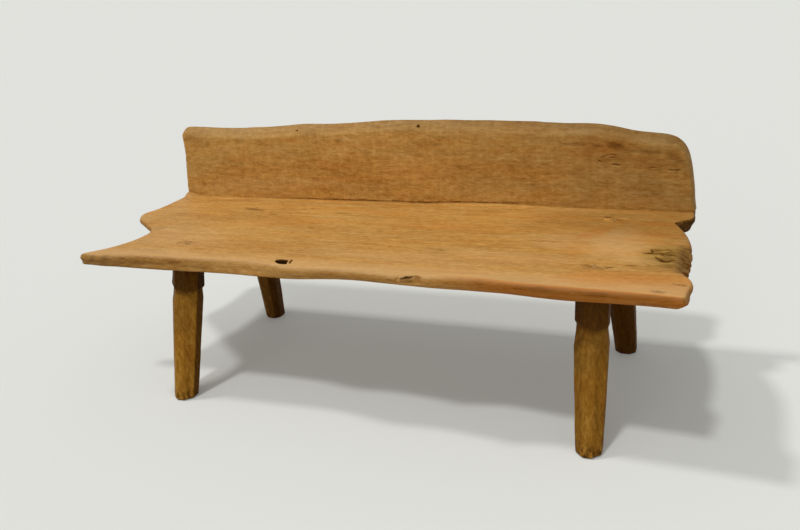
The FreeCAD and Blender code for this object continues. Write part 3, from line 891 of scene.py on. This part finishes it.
def add_leg(name):
    """Chamfered leg with hewn faces, a tipped neck and a worn foot."""
    node = name + "_leg"
    low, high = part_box(node)
    neck_height, tip, darkness, right_side, right_from, left_light, front_light = LEG_LOOKS[name]
    piece = net_of(node, name + "_post", LEG_CELL)
    places, normals = coordinates(piece)
    seed = 100 + 10 * LEG_NAMES.index(name)
    upright = 1 - np.abs(normals[:, 2])
    tenon = smoothstep(places[:, 2], SEAT_LOW.z + 0.001, SEAT_LOW.z + 0.004)
    hewn = LEG_HEWN * rough(places, (0.03, 0.03, 0.09), seed, 3)
    hewn += LEG_FIBRES * rough(places, (0.006, 0.006, 0.05), seed + 5)
    near_foot = falls(places[:, 2], 0.0, 0.03)
    hewn += FOOT_WEAR * near_foot * rough(places, (0.012, 0.012, 0.010), seed + 7)
    shift = (hewn + LEG_SWELL_OUT) * upright * (1 - tenon) + TENON_SWELL * tenon * upright
    moved = places + normals * shift[:, None]
    neck = np.abs(places[:, 2] - neck_height) < NECK_REACH
    middle, half = places[neck, 0].mean(), np.ptp(places[neck, 0]) / 2
    bump = np.exp(-((places[:, 2] - neck_height) / NECK_REACH) ** 2) * (1 - tenon)
    moved[:, 2] -= tip * np.clip((places[:, 0] - middle) / half, -1, 1) * bump
    level = (normals[:, 2] > 0.5) & (places[:, 2] > SEAT_TOP - TENON_END)
    moved[level, 2] = SEAT_TOP - TENON_SET
    move_vertices(piece, moved, low, high)

    up = smoothstep(normals[:, 2], 0.3, 0.7)
    ragged = 0.02 * rough(places, (0.02,) * 3, seed + 9)
    zero = np.zeros(len(places))
    masks = top_masks(places, up * tenon, zero)
    # Painted shade by facet: the left and front faces take the leg's brightness factors, and the right
    # side gets more painted shade.
    to_left = falls(normals[:, 0], -0.60, -0.30)
    to_front = falls(normals[:, 1], -0.95, -0.75) * (1 - to_left)
    to_right = right_side * smoothstep(normals[:, 0], right_from, right_from + 0.2)
    light_change = (left_light - 1) * to_left + (front_light - 1) * to_front
    store_masks(piece, **masks, rim=zero, olive=zero, hollow=zero, dim=zero,
                foot=falls(places[:, 2] + ragged, 0.0, 0.05),
                # Painted shade under the seat: on the block, and above the edge of a shadow across the
                # leg.
                block=smoothstep(places[:, 2] + 0.3 * ragged, neck_height - 0.022, neck_height + 0.004),
                band=smoothstep(places[:, 2] + 0.5 * ragged, 0.190, 0.215),
                shade=darkness + (FULL_SHADE - darkness) * to_right,
                light=0.5 * (1 + light_change * (1 - tenon)))
    ride_as(piece, node)
    return piece


def show_tenon_end(leg):
    """The seat's wood, the second material, on the end of the tenon."""
    count = len(leg.data.polygons)
    centres, normals = np.empty(count * 3), np.empty(count * 3)
    leg.data.polygons.foreach_get("center", centres)
    leg.data.polygons.foreach_get("normal", normals)
    end = (centres[2::3] > SEAT_TOP - TENON_END) & (normals[2::3] > 0.5)
    leg.data.polygons.foreach_set("material_index", end.astype(np.int32))


seat = add_seat()
back = add_back()
legs = {name: add_leg(name) for name in LEG_NAMES}
for piece in (seat, back, *legs.values()):
    piece.data.shade_smooth()


# Wood

def along_x(along, across):
    """Noise scale of a figure that runs along the bench."""
    return (along, across, across)


def along_z(along, across):
    """Noise scale of a figure that runs up a leg."""
    return (across, across, along)


def wood_figure(tree, run, wander):
    """Noises of the wood at object coordinates, from broad patches to fine fibres, each 0 to 1."""
    place = add_node(tree, "TexCoord").outputs["Object"]
    bend = add_node(tree, "TexNoise", Vector=place, Scale=4.0, Detail=3.0)
    shift = vector_node(tree, "SUBTRACT", bend.outputs["Color"], (0.5, 0.5, 0.5))
    shift = vector_node(tree, "MULTIPLY", shift, (wander,) * 3)
    bent = vector_node(tree, "ADD", place, shift)
    return {
        "patches": noise_node(tree, place, run(3.0, 9.0), 3.0, 0.55),
        "hue": noise_node(tree, bent, run(5.0, 22.0), 4.0, 0.6),
        "streaks": noise_node(tree, bent, run(7.0, 75.0), 5.0, 0.68),
        "mottle": noise_node(tree, bent, run(38.0, 90.0), 4.0, 0.65),
        "flecks": noise_node(tree, bent, run(60.0, 260.0), 3.0, 0.6),
        "fibres": noise_node(tree, place, run(90.0, 800.0), 2.0, 0.6),
    }


def wood_tone(tree, figure, shares):
    """Weighted sum of the wood's noises."""
    tone = None
    for name, share in shares.items():
        if tone is None:
            tone = math_node(tree, "MULTIPLY", figure[name], share)
        else:
            tone = math_node(tree, "MULTIPLY_ADD", figure[name], share, tone)
    return tone


def tone_colour(tree, tone, reach, deep, middle, light):
    """Colour from deep to light as the tone runs across its reach, about one half."""
    ramp = tree.nodes.new("ShaderNodeValToRGB")
    ramp.color_ramp.elements[0].position = 0.5 - reach
    ramp.color_ramp.elements[0].color = deep
    ramp.color_ramp.elements[1].position = 0.5 + reach
    ramp.color_ramp.elements[1].color = light
    ramp.color_ramp.elements.new(0.50).color = middle
    connect(tree, ramp.inputs[0], tone)
    return ramp.outputs["Color"]


GLOSS_TINT = (1.0, 0.82, 0.58, 1.0)
SLAB_GLOSS = 0.22
LEG_GLOSS = 0.12
END_GLOSS = 0.2
OLIVE_TINT = (0.985, 1.015, 1.03, 1.0)
RUSSET_TINT = (1.025, 0.970, 0.84, 1.0)
RIPPLE_TINT = (0.80, 0.76, 0.68, 1.0)
DIM_TINT = (0.72, 0.70, 0.66, 1.0)
# Painted shade on the back's crest
CREST_TINT = (0.52, 0.51, 0.53, 1.0)
# How far the pale, warm and olive patches move the wood's colour to their own
PALE_SHARE = 0.70
GLOW_SHARE = 0.62
OLIVE_SHARE = 0.75
# Adze ripple on the back's face: the scale of its noise
RIPPLE_SCALE = (95.0, 10.0, 6.0)


def finish_wood(tree, shader, figure, colour, smooth, dull, gloss, relief):
    """Colour, satin gloss and fine relief on the shader."""
    connect(tree, shader.inputs["Base Color"], colour)
    connect(tree, shader.inputs["Roughness"], remap(tree, figure["flecks"], 0.3, 0.7, dull, smooth))
    connect(tree, shader.inputs["Specular IOR Level"], gloss)
    connect(tree, shader.inputs["Specular Tint"], GLOSS_TINT)
    height = wood_tone(tree, figure, {"streaks": 0.4, "flecks": 0.6, "fibres": 0.5})
    bump = add_node(tree, "Bump", Strength=relief, Distance=0.0012, Height=height)
    connect(tree, shader.inputs["Normal"], bump.outputs["Normal"])


def brighten(tree, colour):
    """The colour times twice the light mask, which holds painted light and shade."""
    factor = math_node(tree, "MULTIPLY", mask(tree, "light"), 2.0)
    return vector_node(tree, "MULTIPLY", colour, factor)


def vary_hue(tree, figure, colour):
    """The colour drawn to olive in some places and to russet in others."""
    tint = mix_colours(tree, remap(tree, figure["hue"], 0.38, 0.62), OLIVE_TINT, RUSSET_TINT)
    return mix_colours(tree, 1.0, colour, tint, "MULTIPLY")


def move_colour(tree, colour, name, share, target):
    """The colour moved by a share to another colour, under a mask."""
    moved = mix_colours(tree, share, colour, target)
    return mix_colours(tree, mask(tree, name), colour, moved)


def tint_colour(tree, colour, name, tint):
    """The colour times a tint, under a mask."""
    factor = mix_colours(tree, mask(tree, name), WHITE, tint)
    return mix_colours(tree, 1.0, colour, factor, "MULTIPLY")


def slab_gloss(tree):
    """Gloss of the slabs, which goes in hollows and stains, and mostly on the rims."""
    rim = math_node(tree, "MULTIPLY", mask(tree, "rim"), 0.8)
    dull = math_node(tree, "MAXIMUM", mask(tree, "hollow"), rim)
    dull = math_node(tree, "MAXIMUM", dull, mask(tree, "stain"))
    return math_node(tree, "MULTIPLY_ADD", dull, -SLAB_GLOSS, SLAB_GLOSS)


def slab_material(name, colours, shares, relief, ripple_share):
    """Old teak with stains, warm and bleached patches, dark rims and, on the back, adze ripple; with
    painted shade in cracks, hollows and on the back's crest, and painted light and shade from the light
    mask.
    """
    material, tree, shader = new_material(name)
    figure = wood_figure(tree, along_x, 0.03)
    tone = wood_tone(tree, figure, shares)
    colour = tone_colour(tree, tone, 0.11, colours["deep"], colours["middle"], colours["light"])
    colour = vary_hue(tree, figure, colour)
    # Pale wood, and painted light: the sheen along the seat's front, and the back's left end and the top
    # of its face.
    colour = move_colour(tree, colour, "pale", PALE_SHARE, colours["pale"])
    rim = tone_colour(tree, tone, 0.09, colours["rim_deep"], colours["rim"], colours["rim_light"])
    colour = mix_colours(tree, mask(tree, "rim"), colour, rim)
    colour = move_colour(tree, colour, "glow", GLOW_SHARE, colours["glow"])
    colour = move_colour(tree, colour, "olive", OLIVE_SHARE, colours["olive"])
    colour = tint_colour(tree, colour, "dim", DIM_TINT)
    if ripple_share:
        # Painted shade on the crest.
        colour = tint_colour(tree, colour, "crest", CREST_TINT)
        place = add_node(tree, "TexCoord").outputs["Object"]
        ripple = noise_node(tree, place, RIPPLE_SCALE, 2.0)
        shade = remap(tree, ripple, 0.35, 0.65, ripple_share, 0.0)
        colour = mix_colours(tree, shade, colour, RIPPLE_TINT, "MULTIPLY")
    patchy = remap(tree, figure["flecks"], 0.35, 0.6, 1.0, 0.75)
    stain = math_node(tree, "MULTIPLY", mask(tree, "stain"), patchy)
    colour = mix_colours(tree, stain, colour, colours["stain"])
    # Painted shade in the hollows.
    colour = mix_colours(tree, mask(tree, "hollow"), colour, colours["hollow"])
    colour = brighten(tree, colour)
    finish_wood(tree, shader, figure, colour, 0.50, 0.68, slab_gloss(tree), relief)
    return material


def leg_material(name, colours, shares):
    """Darker hewn hardwood with painted shade at the block, above the shadow band's edge, on its left and
    front faces and on its right side, and stained at the foot.
    """
    material, tree, shader = new_material(name)
    figure = wood_figure(tree, along_z, 0.02)
    tone = wood_tone(tree, figure, shares)
    colour = tone_colour(tree, tone, 0.10, colours["deep"], colours["middle"], colours["light"])
    colour = vary_hue(tree, figure, colour)
    for zone, tint in LEG_TINTS.items():
        colour = tint_colour(tree, colour, zone, tint)
    colour = brighten(tree, colour)
    patchy = remap(tree, figure["mottle"], 0.42, 0.60, 0.8, 0.0)
    foot = math_node(tree, "MULTIPLY", mask(tree, "foot"), patchy)
    colour = mix_colours(tree, foot, colour, colours["stain"])
    finish_wood(tree, shader, figure, colour, 0.55, 0.72, LEG_GLOSS, 0.35)
    return material


def end_grain_material(name, colour_dark, colour_pale):
    """End grain of wedges and dowels: tight rings and pores."""
    material, tree, shader = new_material(name)
    figure = wood_figure(tree, along_x, 0.01)
    tone = wood_tone(tree, figure, {"streaks": 0.4, "mottle": 0.3, "flecks": 0.3})
    colour = tone_colour(tree, tone, 0.10, colour_dark, colour_dark, colour_pale)
    finish_wood(tree, shader, figure, colour, 0.55, 0.7, END_GLOSS, 0.25)
    return material


SEAT_COLOURS = {
    "deep": linear(158, 108, 46),
    "middle": linear(184, 135, 68),
    "light": linear(204, 158, 90),
    "pale": linear(206, 162, 108),
    "glow": linear(190, 104, 16),
    "olive": linear(166, 130, 52),
    "rim": linear(188, 134, 68),
    "rim_deep": linear(150, 100, 46),
    "rim_light": linear(206, 158, 92),
    "stain": linear(86, 50, 18),
    "hollow": linear(64, 40, 12),
}
BACK_COLOURS = {
    "deep": linear(168, 117, 51),
    "middle": linear(199, 150, 79),
    "light": linear(221, 176, 105),
    "pale": linear(214, 172, 112),
    "glow": linear(198, 120, 42),
    "olive": linear(190, 156, 86),
    "rim": linear(178, 126, 60),
    "rim_deep": linear(150, 100, 42),
    "rim_light": linear(196, 148, 82),
    "stain": linear(100, 56, 16),
    "hollow": linear(34, 20, 8),
}
LEG_COLOURS = {
    "deep": linear(134, 86, 22),
    "middle": linear(168, 116, 38),
    "light": linear(196, 144, 60),
    "stain": linear(70, 38, 10),
}
# Painted shade on the legs: the block under the seat, above a shadow's edge, and the shade mask
LEG_TINTS = {
    "block": (0.36, 0.30, 0.20, 1.0),
    "band": (0.85, 0.83, 0.80, 1.0),
    "shade": (0.20, 0.14, 0.05, 1.0),
}
SEAT_SHARES = {"patches": 0.20, "streaks": 0.32, "mottle": 0.24, "flecks": 0.24}
BACK_SHARES = {"patches": 0.20, "streaks": 0.22, "mottle": 0.34, "flecks": 0.24}
LEG_SHARES = {"patches": 0.22, "streaks": 0.28, "mottle": 0.25, "flecks": 0.25}


def dress_fastener(node, material):
    """A material on a CAD node, whose own form stays."""
    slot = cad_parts[node].material_slots[0]
    slot.link = "OBJECT"
    slot.material = material


seat_wood = slab_material("seat_teak", SEAT_COLOURS, SEAT_SHARES, 0.30, 0.0)
seat.data.materials.append(seat_wood)
back.data.materials.append(slab_material("back_teak", BACK_COLOURS, BACK_SHARES, 0.40, 0.35))
leg_wood = leg_material("leg_hardwood", LEG_COLOURS, LEG_SHARES)
for leg in legs.values():
    leg.data.materials.append(leg_wood)
    leg.data.materials.append(seat_wood)
    show_tenon_end(leg)

wedge_wood = end_grain_material("wedge_end_grain", linear(150, 108, 60), linear(176, 132, 76))
dowel_wood = end_grain_material("dowel_end_grain", linear(132, 92, 48), linear(168, 126, 74))
for name in LEG_NAMES:
    dress_fastener(name + "_wedge", wedge_wood)
dress_fastener("back_dowels", dowel_wood)
